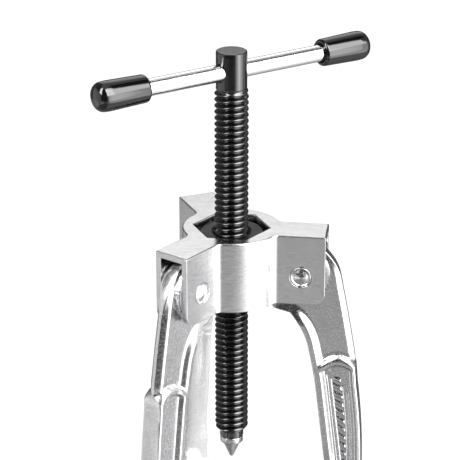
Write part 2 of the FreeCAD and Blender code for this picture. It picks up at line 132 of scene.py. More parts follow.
def turned(profile, segments=96):
    """Vertices and faces of a (radius, level) profile turned about Z; an end at radius 0 closes
    once the piece is welded."""
    angles = np.arange(segments) * TURN / segments
    rings = [[(r * math.cos(a), r * math.sin(a), z) for a in angles] for r, z in profile]
    vertices = [v for ring in rings for v in ring]
    faces = []
    for i in range(len(profile) - 1):
        for j in range(segments):
            k = (j + 1) % segments
            low, high = i * segments, (i + 1) * segments
            faces.append((low + j, low + k, high + k, high + j))
    return np.array(vertices), faces


def rounded(corners, steps=5):
    """A polyline whose corners are eased: each corner is (x, y, radius)."""
    out = []
    for i, (x, y, radius) in enumerate(corners):
        here = np.array((x, y), float)
        if radius <= 0 or i in (0, len(corners) - 1):
            out.append(here)
            continue
        before, after = np.array(corners[i - 1][:2], float), np.array(corners[i + 1][:2], float)
        back = (before - here) / np.linalg.norm(before - here)
        ahead = (after - here) / np.linalg.norm(after - here)
        half = math.acos(max(-1.0, min(1.0, float(back @ ahead)))) / 2
        reach = radius / math.tan(half)
        centre = here + (back + ahead) / np.linalg.norm(back + ahead) * radius / math.sin(half)
        first, last = here + back * reach - centre, here + ahead * reach - centre
        start = math.atan2(first[1], first[0])
        sweep = math.atan2(last[1], last[0]) - start
        sweep = (sweep + math.pi) % TURN - math.pi
        for k in range(steps + 1):
            a = start + sweep * k / steps
            out.append(centre + radius * np.array((math.cos(a), math.sin(a))))
    return [tuple(p) for p in out]


def moved(vertices, matrix):
    """Vertices after a rigid transform."""
    rotation, shift = np.array(matrix.to_3x3()), np.array(matrix.translation)
    return np.asarray(vertices) @ rotation.T + shift


def softened(node, width, material, body, rim_width=None, angle=30.0):
    """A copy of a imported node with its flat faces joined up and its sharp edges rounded; the edge
    round the outside of its top can have its own width."""
    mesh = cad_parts[node].data.copy()
    work = bmesh.new()
    work.from_mesh(mesh)
    bmesh.ops.remove_doubles(work, verts=work.verts, dist=SAME_PACKED_POINT)
    bmesh.ops.dissolve_limit(work, angle_limit=FLAT_ANGLE, verts=work.verts, edges=work.edges)
    weights = work.edges.layers.float.new("bevel_weight_edge")
    top = max(v.co.z for v in work.verts)
    for edge in work.edges:
        if len(edge.link_faces) != 2 or edge.calc_face_angle(0.0) <= math.radians(angle):
            continue
        on_rim = rim_width and all(v.co.z > top - SAME_LEVEL for v in edge.verts)
        on_rim = on_rim and all(v.co.xy.length > RIM_FROM_AXIS * MM for v in edge.verts)
        edge[weights] = 1.0 if on_rim or not rim_width else width / rim_width
    work.to_mesh(mesh)
    work.free()
    piece = bpy.data.objects.new(node + "_body", mesh)
    bpy.context.scene.collection.objects.link(piece)
    bevel = piece.modifiers.new("eased_edges", "BEVEL")
    bevel.limit_method, bevel.width, bevel.segments = "WEIGHT", (rim_width or width) * MM, 3
    bevel.use_clamp_overlap = True
    finish_piece(piece, body, node, material)
    level_faces(piece, 100)


def level_faces(piece, weight):
    """Shading that follows the large faces, so that they look flat up to their rounded edges."""
    level = piece.modifiers.new("level_faces", "WEIGHTED_NORMAL")
    level.keep_sharp, level.weight = True, weight


# ------------------------------------------------------------------ materials

class Nodes:
    """Short names for building one material's node tree."""

    def __init__(self, name):
        self.material = bpy.data.materials.new(name)
        self.material.use_nodes = True
        self.tree = self.material.node_tree
        self.shader = self.tree.nodes["Principled BSDF"]
        self.place = self.add("ShaderNodeTexCoord").outputs["Object"]

    def add(self, kind, **settings):
        """A new node with its settings."""
        node = self.tree.nodes.new(kind)
        for key, value in settings.items():
            setattr(node, key, value)
        return node

    def link(self, source, target):
        self.tree.links.new(source, target)

    def put(self, node, name, value):
        """Give an input a number, or link it when the value is another node's output."""
        if hasattr(value, "is_output"):
            self.link(value, node.inputs[name])
        else:
            node.inputs[name].default_value = value

    def stretched(self, scale):
        """Places on the object, scaled along each axis."""
        node = self.add("ShaderNodeMapping")
        self.link(self.place, node.inputs["Vector"])
        node.inputs["Scale"].default_value = scale
        return node.outputs["Vector"]

    def noise(self, size_mm, detail=3.0, roughness=0.55, stretch=(1, 1, 1), distortion=0.0):
        """Noise whose grains are about size_mm across; stretch below 1 lengthens them."""
        scale = 1.0 / (size_mm * MM)
        node = self.add("ShaderNodeTexNoise")
        self.link(self.stretched([scale * s for s in stretch]), node.inputs["Vector"])
        node.inputs["Scale"].default_value = 1.0
        node.inputs["Detail"].default_value = detail
        node.inputs["Roughness"].default_value = roughness
        node.inputs["Distortion"].default_value = distortion
        return node.outputs["Fac"]

    def span(self, value, low, high, out_low, out_high):
        """A value between low and high carried over to the range from out_low to out_high."""
        node = self.add("ShaderNodeMapRange")
        self.link(value, node.inputs["Value"])
        numbers = (("From Min", low), ("From Max", high), ("To Min", out_low), ("To Max", out_high))
        for name, number in numbers:
            node.inputs[name].default_value = number
        return node.outputs["Result"]

    def mix_colour(self, factor, first, second):
        """A colour that goes from first to second as factor goes from 0 to 1."""
        node = self.add("ShaderNodeMix", data_type="RGBA")
        self.put(node, 0, factor)
        for index, colour in ((6, first), (7, second)):
            if hasattr(colour, "is_output"):
                self.link(colour, node.inputs[index])
            else:
                node.inputs[index].default_value = (*colour, 1.0)
        return node.outputs[2]

    def maths(self, operation, first, second):
        node = self.add("ShaderNodeMath", operation=operation)
        self.put(node, 0, first)
        self.put(node, 1, second)
        return node.outputs[0]

    def bump(self, *layers):
        """Layers are (height, depth in mm); each is laid over the one before."""
        normal = None
        for height, depth in layers:
            node = self.add("ShaderNodeBump")
            node.inputs["Distance"].default_value = depth * MM
            self.link(height, node.inputs["Height"])
            if normal is not None:
                self.link(normal, node.inputs["Normal"])
            normal = node.outputs["Normal"]
        self.link(normal, self.shader.inputs["Normal"])

    def blend(self, share, first, second):
        """One number that goes from first to second as share goes from 0 to 1."""
        gap = self.maths("SUBTRACT", second, first)
        return self.maths("ADD", first, self.maths("MULTIPLY", share, gap))

    def facing_up(self):
        """1 on level faces and 0 on upright ones."""
        split = self.add("ShaderNodeSeparateXYZ")
        self.link(self.add("ShaderNodeNewGeometry").outputs["Normal"], split.inputs["Vector"])
        return self.span(self.maths("ABSOLUTE", split.outputs["Z"], 0.0), 0.5, 0.8, 0.0, 1.0)

    def edge_wear(self):
        """About 1 on convex edges, about 0.5 on flats and below that in corners."""
        return self.add("ShaderNodeNewGeometry").outputs["Pointiness"]

    def set(self, **inputs):
        """Values for the shader's inputs, with _ for a space in a name."""
        for name, value in inputs.items():
            self.put(self.shader, name.replace("_", " "), value)


def plated_forging():
    """Satin plate over a shot-blasted forging: fine grain with brighter rubbed edges."""
    n = Nodes("plated_forging")
    grain = n.noise(0.55, 4.0, 0.65)
    patches = n.noise(7.0, 3.0, 0.55)
    wear = n.span(n.edge_wear(), 0.5, 0.56, 0.0, 1.0)
    tone = n.mix_colour(n.span(patches, 0.35, 0.7, 0.0, 1.0),
                        (0.57, 0.57, 0.58), (0.64, 0.64, 0.64))
    tone = n.mix_colour(n.span(grain, 0.42, 0.62, 0.60, 0.0), tone, (0.36, 0.36, 0.37))
    n.set(Base_Color=n.mix_colour(wear, tone, (0.80, 0.80, 0.80)), Metallic=1.0,
          Roughness=n.span(grain, 0.3, 0.7, 0.20, 0.30))
    n.bump((n.noise(3.2, 2.0, 0.5), 0.012), (grain, 0.012))
    return n.material


def plated_sheet():
    """Bright plate on the pressed yoke: level brushing, small scratches and a few pits."""
    n = Nodes("plated_sheet")
    level = n.facing_up()
    brush = n.blend(level, n.noise(0.35, 3.0, 0.6, stretch=(0.08, 0.08, 1.0)),
                    n.noise(0.3, 3.0, 0.6, stretch=(0.12, 1.0, 1.0)))
    scuffs = n.noise(1.1, 4.0, 0.7, stretch=(0.25, 1.0, 1.0), distortion=0.6)
    patches = n.noise(11.0, 3.0, 0.6)
    pits = n.span(n.noise(0.5, 1.0, 0.4), 0.70, 0.78, 0.0, 1.0)
    tone = n.mix_colour(n.span(patches, 0.35, 0.7, 0.0, 1.0),
                        (0.61, 0.61, 0.62), (0.66, 0.66, 0.66))
    tone = n.mix_colour(n.span(brush, 0.40, 0.62, 0.34, 0.0), tone, (0.36, 0.36, 0.37))
    tone = n.mix_colour(n.maths("MULTIPLY", pits, 0.5), tone, (0.30, 0.30, 0.31))
    n.set(Base_Color=tone, Metallic=1.0, Roughness=n.span(scuffs, 0.3, 0.75, 0.16, 0.27))
    n.bump((n.noise(9.0, 2.0, 0.5), 0.02), (brush, 0.003), (scuffs, 0.004))
    return n.material


def dark_nut_steel():
    """Blackened, oily steel with uneven patches."""
    n = Nodes("dark_nut_steel")
    grain = n.noise(0.4, 3.0, 0.6)
    patches = n.span(n.noise(4.0, 3.0, 0.6), 0.3, 0.7, 0.0, 1.0)
    n.set(Base_Color=n.mix_colour(patches, (0.014, 0.014, 0.015), (0.034, 0.034, 0.035)),
          Metallic=1.0, Roughness=n.span(grain, 0.3, 0.7, 0.32, 0.48))
    n.bump((grain, 0.02))
    return n.material


def black_oxide():
    """Oiled black oxide on the rolled spindle."""
    n = Nodes("black_oxide")
    grain = n.noise(0.6, 3.0, 0.6)
    patches = n.span(n.noise(6.0, 2.0), 0.35, 0.7, 0.0, 1.0)
    n.set(Base_Color=n.mix_colour(patches, (0.0015, 0.0015, 0.0015), (0.003, 0.003, 0.003)),
          Metallic=0.0, Roughness=n.span(grain, 0.3, 0.7, 0.13, 0.19), Specular_IOR_Level=0.9)
    n.bump((grain, 0.006))
    return n.material


def bright_bar():
    """Bright drawn steel, nearly a mirror."""
    n = Nodes("bright_bar")
    draw = n.noise(0.5, 2.0, 0.5)
    n.set(Base_Color=(0.86, 0.86, 0.86, 1.0), Metallic=1.0,
          Roughness=n.span(draw, 0.3, 0.7, 0.14, 0.2))
    n.bump((draw, 0.0008))
    return n.material


def gloss_plastic():
    """Glossy black moulded plastic with a slightly uneven skin."""
    n = Nodes("gloss_plastic")
    skin = n.noise(5.0, 2.0, 0.5)
    n.set(Base_Color=(0.003, 0.003, 0.003, 1.0), Metallic=0.0,
          Roughness=n.span(skin, 0.3, 0.7, 0.07, 0.11), Specular_IOR_Level=0.65)
    n.bump((skin, 0.02), (n.noise(0.8, 2.0), 0.002))
    return n.material


def peened_steel():
    """Bare steel of the pins, lightly dented by the peening."""
    n = Nodes("peened_steel")
    dents = n.noise(1.3, 2.0, 0.5)
    n.set(Base_Color=(0.62, 0.62, 0.62, 1.0), Metallic=1.0,
          Roughness=n.span(dents, 0.3, 0.7, 0.2, 0.3))
    n.bump((dents, 0.018))
    return n.material


def spring_steel():
    """Dull rolled strip of the washers and the snap ring."""
    n = Nodes("spring_steel")
    grain = n.noise(0.4, 3.0, 0.6)
    n.set(Base_Color=(0.52, 0.52, 0.54, 1.0), Metallic=1.0,
          Roughness=n.span(grain, 0.3, 0.7, 0.36, 0.44))
    n.bump((grain, 0.0015))
    return n.material


def ground_steel():
    """Lathe-turned, hardened steel: fine rings round the spindle axis."""
    n = Nodes("ground_steel")
    rings = n.noise(0.3, 2.0, 0.5, stretch=(0.05, 0.05, 1.0))
    n.set(Base_Color=n.mix_colour(n.noise(5.0), (0.36, 0.36, 0.38), (0.56, 0.56, 0.57)),
          Metallic=1.0, Roughness=n.span(rings, 0.3, 0.7, 0.2, 0.34))
    n.bump((rings, 0.01))
    return n.material


FORGING = plated_forging()
SHEET = plated_sheet()
NUT = dark_nut_steel()
BLACK = black_oxide()
BAR = bright_bar()
PLASTIC = gloss_plastic()
PEENED = peened_steel()
SPRING = spring_steel()
GROUND = ground_steel()


# ------------------------------------------------------------------ spindle

THREAD_RADIUS, ROOT_RADIUS, PITCH = 8.0, 6.35, 3.0
CREST_FULLNESS = 0.75  # below 1 the crests are wider than the roots
THREAD_TOP = 182.5
RUN_OUT_START, RUN_OUT_END = 3.6, 0.2  # below the thread's top
HEAD_RADIUS = 7.25
NECK_RADIUS, NECK_HEIGHT = 5.7, 3.1
SPINDLE_BORE = 3.06
CROSS_HOLE = 4.08
SEGMENTS, ROWS_PER_TURN = 96, 16
FOLDED = 1e-6  # a face lower than this has folded onto the thread's end
AT_JOIN = 1e-4  # a face this close to the thread's end closes the head there, and is left out


def smooth(value, low, high):
    """0 below low, 1 above high, eased between; low above high turns it round."""
    t = np.clip((np.asarray(value, float) - low) / (high - low), 0.0, 1.0)
    return t * t * (3 - 2 * t)


def thread_radius(z, angle, low, high):
    """Surface radius of the rolled thread at a level and an angle, eased out at both ends."""
    phase = (z - low) / PITCH - angle / TURN
    swell = (0.5 + 0.5 * np.cos(TURN * phase)) ** CREST_FULLNESS
    radius = ROOT_RADIUS + (THREAD_RADIUS - ROOT_RADIUS) * swell
    fade = smooth(z, high - RUN_OUT_START, high - RUN_OUT_END)
    radius = radius + (HEAD_RADIUS - radius) * fade
    return np.minimum(radius, NECK_RADIUS + (z - low))


def make_thread(low, high):
    """A helical grid: rows follow the thread, and rows past an end fold onto that end."""
    phases = np.arange(-ROWS_PER_TURN // 2, ROWS_PER_TURN // 2) / ROWS_PER_TURN
    turns = int(math.ceil((high - low) / PITCH)) + 3
    rows = (np.arange(-2, turns)[:, None] + phases[None, :]).ravel()
    columns = np.arange(SEGMENTS) * TURN / SEGMENTS
    z = np.clip(low + PITCH * (rows[:, None] + columns[None, :] / TURN), low, high)
    radius = thread_radius(z, columns[None, :], low, high)
    grid = np.stack([radius * np.cos(columns), radius * np.sin(columns), z], axis=-1)
    faces = []
    for i in range(len(rows) - 1):
        for j in range(SEGMENTS):
            k = (j + 1) % SEGMENTS
            shift = ROWS_PER_TURN if k == 0 else 0
            if i + 1 + shift >= len(rows):
                continue
            quad = ((i, j), (i + shift, k), (i + 1 + shift, k), (i + 1, j))
            levels = [z[a, b] for a, b in quad]
            if max(levels) - min(levels) < FOLDED:
                continue
            faces.append(tuple(a * SEGMENTS + b for a, b in quad))
    return grid.reshape(-1, 3), faces


def loose_object(name, vertices, faces):
    """A welded object in millimetres that is only needed while the spindle is made."""
    mesh = bpy.data.meshes.new(name)
    mesh.from_pydata([tuple(v) for v in vertices * MM], [], faces)
    work = weld(mesh)
    work.to_mesh(mesh)
    work.free()
    thing = bpy.data.objects.new(name, mesh)
    bpy.context.scene.collection.objects.link(thing)
    return thing


def make_head(low, high, bar_level):
    """The plain head with its cross-hole, open at the bottom where the thread meets it. Its end
    keeps shallow lathe rings, and the hole's mouths are countersunk."""
    ring_pitch, ring_depth = 0.8, 0.1
    profile = [(0, low), (HEAD_RADIUS, low)]
    profile += [(HEAD_RADIUS, z) for z in np.linspace(low, high - 0.55, 12)[1:]]
    profile += [(HEAD_RADIUS - 0.12, high - 0.2), (HEAD_RADIUS - 0.4, high)]
    for ring in np.arange(HEAD_RADIUS - 1.0, 0.6, -ring_pitch):
        profile += [(ring, high - ring_depth), (ring - ring_pitch / 2, high)]
    head = loose_object("head", *turned(profile + [(0, high)], SEGMENTS))
    reach, flare, straight = HEAD_RADIUS + 3, CROSS_HOLE + 3.6, HEAD_RADIUS - 0.6
    drill_profile = [(0, -reach), (flare, -reach), (CROSS_HOLE, -straight),
                     (CROSS_HOLE, straight), (flare, reach), (0, reach)]
    drill_vertices, drill_faces = turned(drill_profile, 64)
    lay = Matrix.Rotation(bar_bearing(), 4, "Z") @ Matrix.Rotation(math.pi / 2, 4, "Y")
    lay.translation = Vector((0, 0, bar_level))
    drill = loose_object("drill", moved(drill_vertices, lay), drill_faces)
    cut = head.modifiers.new("cross_hole", "BOOLEAN")
    cut.operation, cut.solver, cut.object = "DIFFERENCE", "EXACT", drill
    bpy.context.view_layer.update()
    result = head.evaluated_get(bpy.context.evaluated_depsgraph_get()).to_mesh()
    out = np.array([v.co for v in result.vertices]) / MM
    polygons = [tuple(p.vertices) for p in result.polygons]
    keep = [f for f in polygons if not all(abs(out[i][2] - low) < AT_JOIN for i in f)]
    for thing in (head, drill):
        bpy.data.objects.remove(thing)
    return out, keep


def joined(*parts):
    """Vertices and faces of several shells as one."""
    vertices, faces = [], []
    for part_vertices, part_faces in parts:
        offset = sum(len(v) for v in vertices)
        vertices.append(np.asarray(part_vertices))
        faces += [tuple(i + offset for i in f) for f in part_faces]
    return np.concatenate(vertices), faces


def make_spindle():
    """Hollow foot, thread and head in one closed shell."""
    low, high = box_mm("spindle")
    tip_high = box_mm("thrust_tip")[1]
    ball_high = box_mm("thrust_ball")[1]
    thread_low = low[2] + NECK_HEIGHT
    mouth, edge = 0.3, 0.4
    foot = [(0, ball_high[2]), (SPINDLE_BORE, ball_high[2]), (SPINDLE_BORE, tip_high[2]),
            (SPINDLE_BORE, low[2] + mouth), (SPINDLE_BORE + mouth, low[2]),
            (NECK_RADIUS - edge, low[2]), (NECK_RADIUS, low[2] + edge), (NECK_RADIUS, thread_low)]
    vertices, faces = joined(turned(foot, SEGMENTS), make_thread(thread_low, THREAD_TOP),
                             make_head(THREAD_TOP, high[2], middle_mm("tommy_bar")[2]))
    piece = new_piece("spindle_body", vertices, faces, "spindle", "spindle", BLACK,
                      crease=33.0)
    level_faces(piece, 80)


# ------------------------------------------------------------------ tommy bar and caps

def bar_bearing():
    """The angle of the tommy bar about Z, from the places of its two caps."""
    near, far = middle_mm("bar_cap_1"), middle_mm("bar_cap_2")
    return math.atan2(far[1] - near[1], far[0] - near[0])


def along_bar():
    """The transform that lays a turned part along the tommy bar."""
    centre = middle_mm("tommy_bar")
    lay = Matrix.Rotation(bar_bearing(), 4, "Z") @ Matrix.Rotation(math.pi / 2, 4, "Y")
    lay.translation = Vector(centre)
    return lay


def ends_along_bar(node):
    """Where a node starts and ends along the bar, from the bar's middle."""
    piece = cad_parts[node]
    places = np.array([piece.matrix_world @ v.co for v in piece.data.vertices]) / MM
    direction = np.array((math.cos(bar_bearing()), math.sin(bar_bearing()), 0.0))
    run = (places - middle_mm("tommy_bar")) @ direction
    return run.min(), run.max()


def make_bar():
    """The round bar and its two caps."""
    low, high = box_mm("tommy_bar")
    radius = (high[2] - low[2]) / 2
    half = ends_along_bar("tommy_bar")[1]
    edge, first_ring = 0.6, half - 6
    profile = rounded([(0, -half, 0), (radius, -half, edge), (radius, -first_ring, 0),
                       (radius, first_ring, 0), (radius, half, edge), (0, half, 0)])
    vertices, faces = turned(profile, 64)
    new_piece("tommy_bar_body", moved(vertices, along_bar()), faces, "handle", "tommy_bar",
              BAR)
    for node, way in (("bar_cap_1", -1), ("bar_cap_2", 1)):
        make_cap(node, way, half, radius + 0.02)


def make_cap(node, way, bar_end, bore):
    """A moulded cap: rounded mouth, a slight swell and a domed closed end."""
    mouth, tip = sorted(abs(place) for place in ends_along_bar(node))
    low, high = box_mm(node)
    radius = (high[2] - low[2]) / 2
    corners = [(0, bar_end, 0), (bore, bar_end, 0), (bore, mouth + 1.5, 1.2),
               (bore + 1.23, mouth, 0.6), (radius - 0.55, mouth, 1.5), (radius, tip - 7.0, 12.0),
               (radius - 0.3, tip - 1.3, 4.2), (0, tip, 0)]
    profile = [(r, z * way) for r, z in rounded(corners, 10)]
    vertices, faces = turned(profile, 96)
    new_piece(node + "_body", moved(vertices, along_bar()), faces, "handle", node,
              PLASTIC, 50.0)


# ------------------------------------------------------------------ pins, washers, thrust tip

PIN_SHANK = 4.0


def on_wing(letter, shift=0.0):
    """The transform from a place about arm a's pivot to the same place on the named wing."""
    lay = Matrix.Rotation(BEARINGS[letter], 4, "Z")
    lay.translation = lay.to_3x3() @ Vector((PIVOT[0], shift, PIVOT[2]))
    return lay


def across_wing(letter, shift=0.0):
    """The transform that lays a turned part along one arm's pivot axis."""
    return on_wing(letter, shift) @ Matrix.Rotation(math.pi / 2, 4, "X")


def pin_shape(half_length, head):
    """A pin with both ends peened over: each head is a low ring round a rounded middle."""
    seat = half_length - 1.6
    rim, valley, dome = head - 0.35, head - 0.75, head - 1.3
    side = [(PIN_SHANK, 0, 0), (PIN_SHANK, seat, 0), (head - 0.2, seat, 0.1),
            (head, seat + 0.3, 0.2), (head - 0.1, seat + 0.7, 0.2),
            (rim, seat + 0.75, 0.15), (valley, seat + 0.35, 0.15)]
    dome_foot, dome_rise, dome_power = seat + 0.4, 1.0, 1.7
    top = dome_foot + dome_rise
    upper = rounded(side + [(dome, dome_foot, 0)], 4)
    upper += [(dome * share, top - dome_rise * share ** dome_power)
              for share in np.linspace(0.95, 0.05, 14)]
    upper += [(0, top)]
    return turned([(r, -z) for r, z in reversed(upper)] + upper[1:], 64)


def washer_shape(half, rim):
    """A flat washer with eased edges."""
    bore = PIN_SHANK + 0.06
    seam = (bore + 1, -half, 0)
    return turned(rounded([seam, (rim, -half, 0.12), (rim, half, 0.12), (bore, half, 0.08),
                           (bore, -half, 0.08), seam], 3), 96)


def make_pins_and_washers():
    """Each wing's pin, and a washer on each side of its arm."""
    low, high = box_mm("pivot_pin_a")
    pin_vertices, pin_faces = pin_shape((high[1] - low[1]) / 2, (high[2] - low[2]) / 2)
    low, high = box_mm("friction_washer_a1")
    washer_vertices, washer_faces = washer_shape((high[1] - low[1]) / 2, (high[2] - low[2]) / 2)
    side = (low[1] + high[1]) / 2
    for letter in BEARINGS:
        node = "pivot_pin_" + letter
        new_piece(node + "_body", moved(pin_vertices, across_wing(letter)), pin_faces, "yoke",
                  node, PEENED, 50.0)
        for number, shift in ((1, side), (2, -side)):
            node = f"friction_washer_{letter}{number}"
            new_piece(node + "_body", moved(washer_vertices, across_wing(letter, shift)),
                      washer_faces, "yoke", node, SPRING)


def make_thrust_parts():
    """The live centre with its ball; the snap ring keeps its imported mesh."""
    low, high = box_mm("thrust_tip")
    collar, collar_top, shank, top = high[0], 3.0, 3.0, high[2]
    groove, groove_low, groove_high = shank - 0.5, 8.5, 9.5
    profile = rounded([(0, low[2], 0), (0.8, low[2], 0.4), (collar - 1.0, 0, 0.2),
                       (collar, 0, 0.25), (collar, collar_top, 0.3), (shank, collar_top, 0.15),
                       (shank, groove_low, 0.05), (groove, groove_low, 0.05),
                       (groove, groove_high, 0.05), (shank, groove_high, 0.05),
                       (shank, top, 0.3), (0, top, 0)], 4)
    vertices, faces = turned(profile, 72)
    new_piece("thrust_tip_body", vertices, faces, "tip", "thrust_tip", GROUND)
    low, high = box_mm("thrust_ball")
    middle, radius, slices = (low[2] + high[2]) / 2, (high[2] - low[2]) / 2, 48
    tilts = [math.pi * (k / slices - 0.5) for k in range(slices + 1)]
    half_circle = [(radius * math.cos(a), middle + radius * math.sin(a)) for a in tilts]
    vertices, faces = turned(half_circle, 64)
    new_piece("thrust_ball_body", vertices, faces, "tip", "thrust_ball", BAR, 50.0)
    snap_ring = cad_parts["tip_retaining_ring"]
    snap_ring.data.materials.clear()
    snap_ring.data.materials.append(SPRING)


# ------------------------------------------------------------------ arms

def arc_points(start, end, radius, step=0.7):
    """Points after start up to end on an arc; a positive radius turns left, and 0 is a straight."""
    start, end = np.array(start, float), np.array(end, float)
    chord = end - start
    length = np.linalg.norm(chord)
    count = max(2, int(length / step))
    if radius == 0:
        return [start + chord * k / count for k in range(1, count + 1)]
    side = math.copysign(1.0, radius)
    normal = np.array((-chord[1], chord[0])) / length
    offset = math.sqrt(max(radius * radius - length * length / 4, 0.0))
    centre = start + chord / 2 + normal * side * offset
    first = math.atan2(*(start - centre)[::-1])
    sweep = math.atan2(*(end - centre)[::-1]) - first
    sweep = (sweep + math.pi) % TURN - math.pi
    angles = [first + sweep * k / count for k in range(1, count + 1)]
    return [centre + abs(radius) * np.array((math.cos(a), math.sin(a))) for a in angles]


def chain(start, legs):
    """A dense polyline from legs of (x, y, arc radius)."""
    points = [np.array(start, float)]
    for x, y, radius in legs:
        points += arc_points(points[-1], (x, y), radius)
    return np.array(points)


# the claw's face, about the pivot, from its places in the assembly
CLAW_TIP, CLAW_FACE = 39.0 - 33.9, -39.0 - 92.4
SHOULDER = (-5, 14.777)


def arm_edges():
    """The arm's outer and inner edges, about its pivot, from its head down to its claw."""
    face, tip = CLAW_FACE, CLAW_TIP
    outer = chain(SHOULDER, [
        (12.4, 9.4, -15.6), (18.4, -1.8, -24), (25.6, -41.0, -900), (27.0, -57, -330),
        (29.9, face + 26, -330), (29.5, face + 14, -60), (tip + 18.6, face - 9.6, -40),
        (tip + 11, face - 13, -9), (tip + 2.2, face - 7.6, 0), (tip, face - 4.5, -4),
        (tip, face, 0)])
    inner = chain((tip, face), [
        (tip + 8.2, face, 0), (tip + 10.6, face + 3, 3), (13.6, face + 21, 0),
        (7.1, -57, 0), (3.6, -38.2, 250), (-5.5, -20.5, 34), (-12.3, -19, 0),
        (-14.2, -16.8, -2.6), (-14.2, -6, 0), (-16.6, -3.1, 3.2), (-19.4, -3.3, 0),
        (-19.4, 3.3, -3.301), (-17, 2.6, 0), (-13.5, 7, 6), (*SHOULDER, 0)])
    return outer, inner


def distance_to(points, line, block=4000):
    """Distance from each point to a polyline."""
    start, end = line[:-1], line[1:]
    run = end - start
    length2 = np.maximum((run ** 2).sum(1), 1e-12)
    out = []
    for i in range(0, len(points), block):
        p = points[i:i + block, None, :]
        t = np.clip(((p - start) * run).sum(-1) / length2, 0, 1)
        gap = p - (start + t[..., None] * run)
        out.append(np.sqrt((gap ** 2).sum(-1)).min(1))
    return np.concatenate(out)


def inside(points, loop):
    """Which points lie inside a closed outline."""
    x, y = points[:, 0], points[:, 1]
    result = np.zeros(len(points), bool)
    for (x1, y1), (x2, y2) in zip(loop, np.roll(loop, -1, axis=0)):
        if y1 != y2:
            crosses = ((y1 > y) != (y2 > y)) & (x < (x2 - x1) * (y - y1) / (y2 - y1) + x1)
            result ^= crosses
    return result


def arch_level(x):
    """The arched line where the thin head plate steps up to the thick blade."""
    return -44.3 - 0.055 * (x - 18.0) ** 2


def ramp(value, low, high, ease):
    """0 at low to 1 at high: straight in the middle, eased over a share of the run at each end."""
    t = np.clip((value - low) / (high - low), 0.0, 1.0)
    near, bend = np.minimum(t, 1 - t), 2 * ease * (1 - ease)
    part = np.where(near < ease, near ** 2 / bend, (near - ease / 2) / (1 - ease))
    return np.where(t < 0.5, part, 1 - part)


def soft_min(values, softness):
    """The least of several arrays, with its creases rounded."""
    stack = np.stack(values)
    low = stack.min(0)
    return low - softness * np.log(np.exp(-(stack - low) / softness).sum(0))


HUB_RADIUS, HUB_HALF = 13.0, 5.4
NOSE_HALF = 3.95
PLATE_HALF, EDGE_DROP = 3.4, 2.5
FLANK, FLANK_BEND, FLANK_SLOPE = 1.5, 1.6, 1.1
RIM_RAISE = 2.6
BLADE_HALF, CLAW_RAISE = 5.5, 1.0
POCKET_DEPTH, POCKET_RIM = 1.9, 0.4
BACK_FILLET, FILLET_DROP = 1.6, 1.2


def head_half(x, z, d_out, d_in, below_arch):
    """Half the thickness of the thin head: a plate that thins towards its back, a rim raised along
    its inner edge, the nose that sits in the nut and the flat round hub."""
    past = np.clip(d_out - FLANK, 0.0, FLANK_BEND)
    climb = np.minimum(d_out, FLANK) + past - past ** 2 / (2 * FLANK_BEND)
    drop = EDGE_DROP - FLANK_SLOPE * climb
    half = PLATE_HALF - drop * (0.2 + 0.8 * smooth(z, 9.0, -9.0))
    half = half + smooth(z, -15.0, -27.0) * RIM_RAISE * ramp(d_in, 6.2, 2.0, 0.40)
    half = half - 0.3 * smooth(below_arch, -5.0, -2.8) * smooth(d_in, 5.0, 7.0)
    nose = smooth(x, -10.0, -13.5)
    half = half * (1 - nose) + NOSE_HALF * nose
    return np.maximum(half, HUB_HALF * smooth(np.hypot(x, z), HUB_RADIUS + 0.6, HUB_RADIUS))


def blade_half(x, z, d_out, d_in, below_arch):
    """Half the thickness of the blade: a long pocket between its rims, a rounded back and a
    thicker claw."""
    half = BLADE_HALF + CLAW_RAISE * smooth(z, CLAW_FACE + 26, CLAW_FACE + 14)
    pocket_foot = CLAW_FACE + 23 + 0.05 * (x - 20) ** 2
    walls = [(d_out - 1.3) / 1.7, (d_in - 3.0) / 2.4, (below_arch - 1.6) / 1.9,
             (z - pocket_foot) / 2.0]
    depth = ramp(soft_min(walls, 0.14), 0.0, 1.0, 0.22)
    inner_rim = smooth(z, CLAW_FACE + 30, CLAW_FACE + 44) * smooth(d_in, 9.0, 5.0)
    half = half - POCKET_DEPTH * depth + POCKET_RIM * inner_rim * (1 - depth)
    fillet = np.clip(1 - d_out / BACK_FILLET, 0.0, 1.0)
    return half - FILLET_DROP * (1 - np.sqrt(1 - fillet ** 2))


def half_thickness(p, outer, inner):
    """Half the forging's thickness at each point of its outline plane, and the height of the
    marks that stand on one side only."""
    x, z = p[:, 0], p[:, 1]
    d_out, d_in = distance_to(p, outer), distance_to(p, inner)
    below_arch = arch_level(x) - z
    head = head_half(x, z, d_out, d_in, below_arch)
    blade = blade_half(x, z, d_out, d_in, below_arch)
    climb = np.clip((below_arch + 2.5) / 3.0, 0.0, 1.0)
    step = 1 - (1 - climb) ** 2.2
    return head * (1 - step) + blade * step, panel_relief(z, d_out, d_in, below_arch)


RELIEF = 0.35
BAR_PITCH, BAR_SLANT = 4.4, 0.55


def panel_relief(z, d_out, d_in, below_arch):
    """Thin border ribs and a plain row of slanting raised bars on the pocket's floor."""
    foot = smooth(z, CLAW_FACE + 27, CLAW_FACE + 30)
    ribs = 0.0
    for distance, place, start in ((d_in, 5.9, 6.0), (d_in, 7.7, 9.0),
                                   (d_out, 4.8, 15.0), (d_out, 6.9, 13.0)):
        line = smooth(np.abs(distance - place), 0.34, 0.1)
        ribs = np.maximum(ribs, line * smooth(below_arch, start, start + 0.8))
    run = ((z - BAR_SLANT * d_out) / BAR_PITCH) % 1.0
    bars = smooth(np.abs(run - 0.5), 0.25, 0.13) * smooth(d_in, 8.2, 8.8) * smooth(d_out, 7.3, 7.9)
    return RELIEF * (ribs + bars * smooth(below_arch, 9.0, 10.0)) * foot


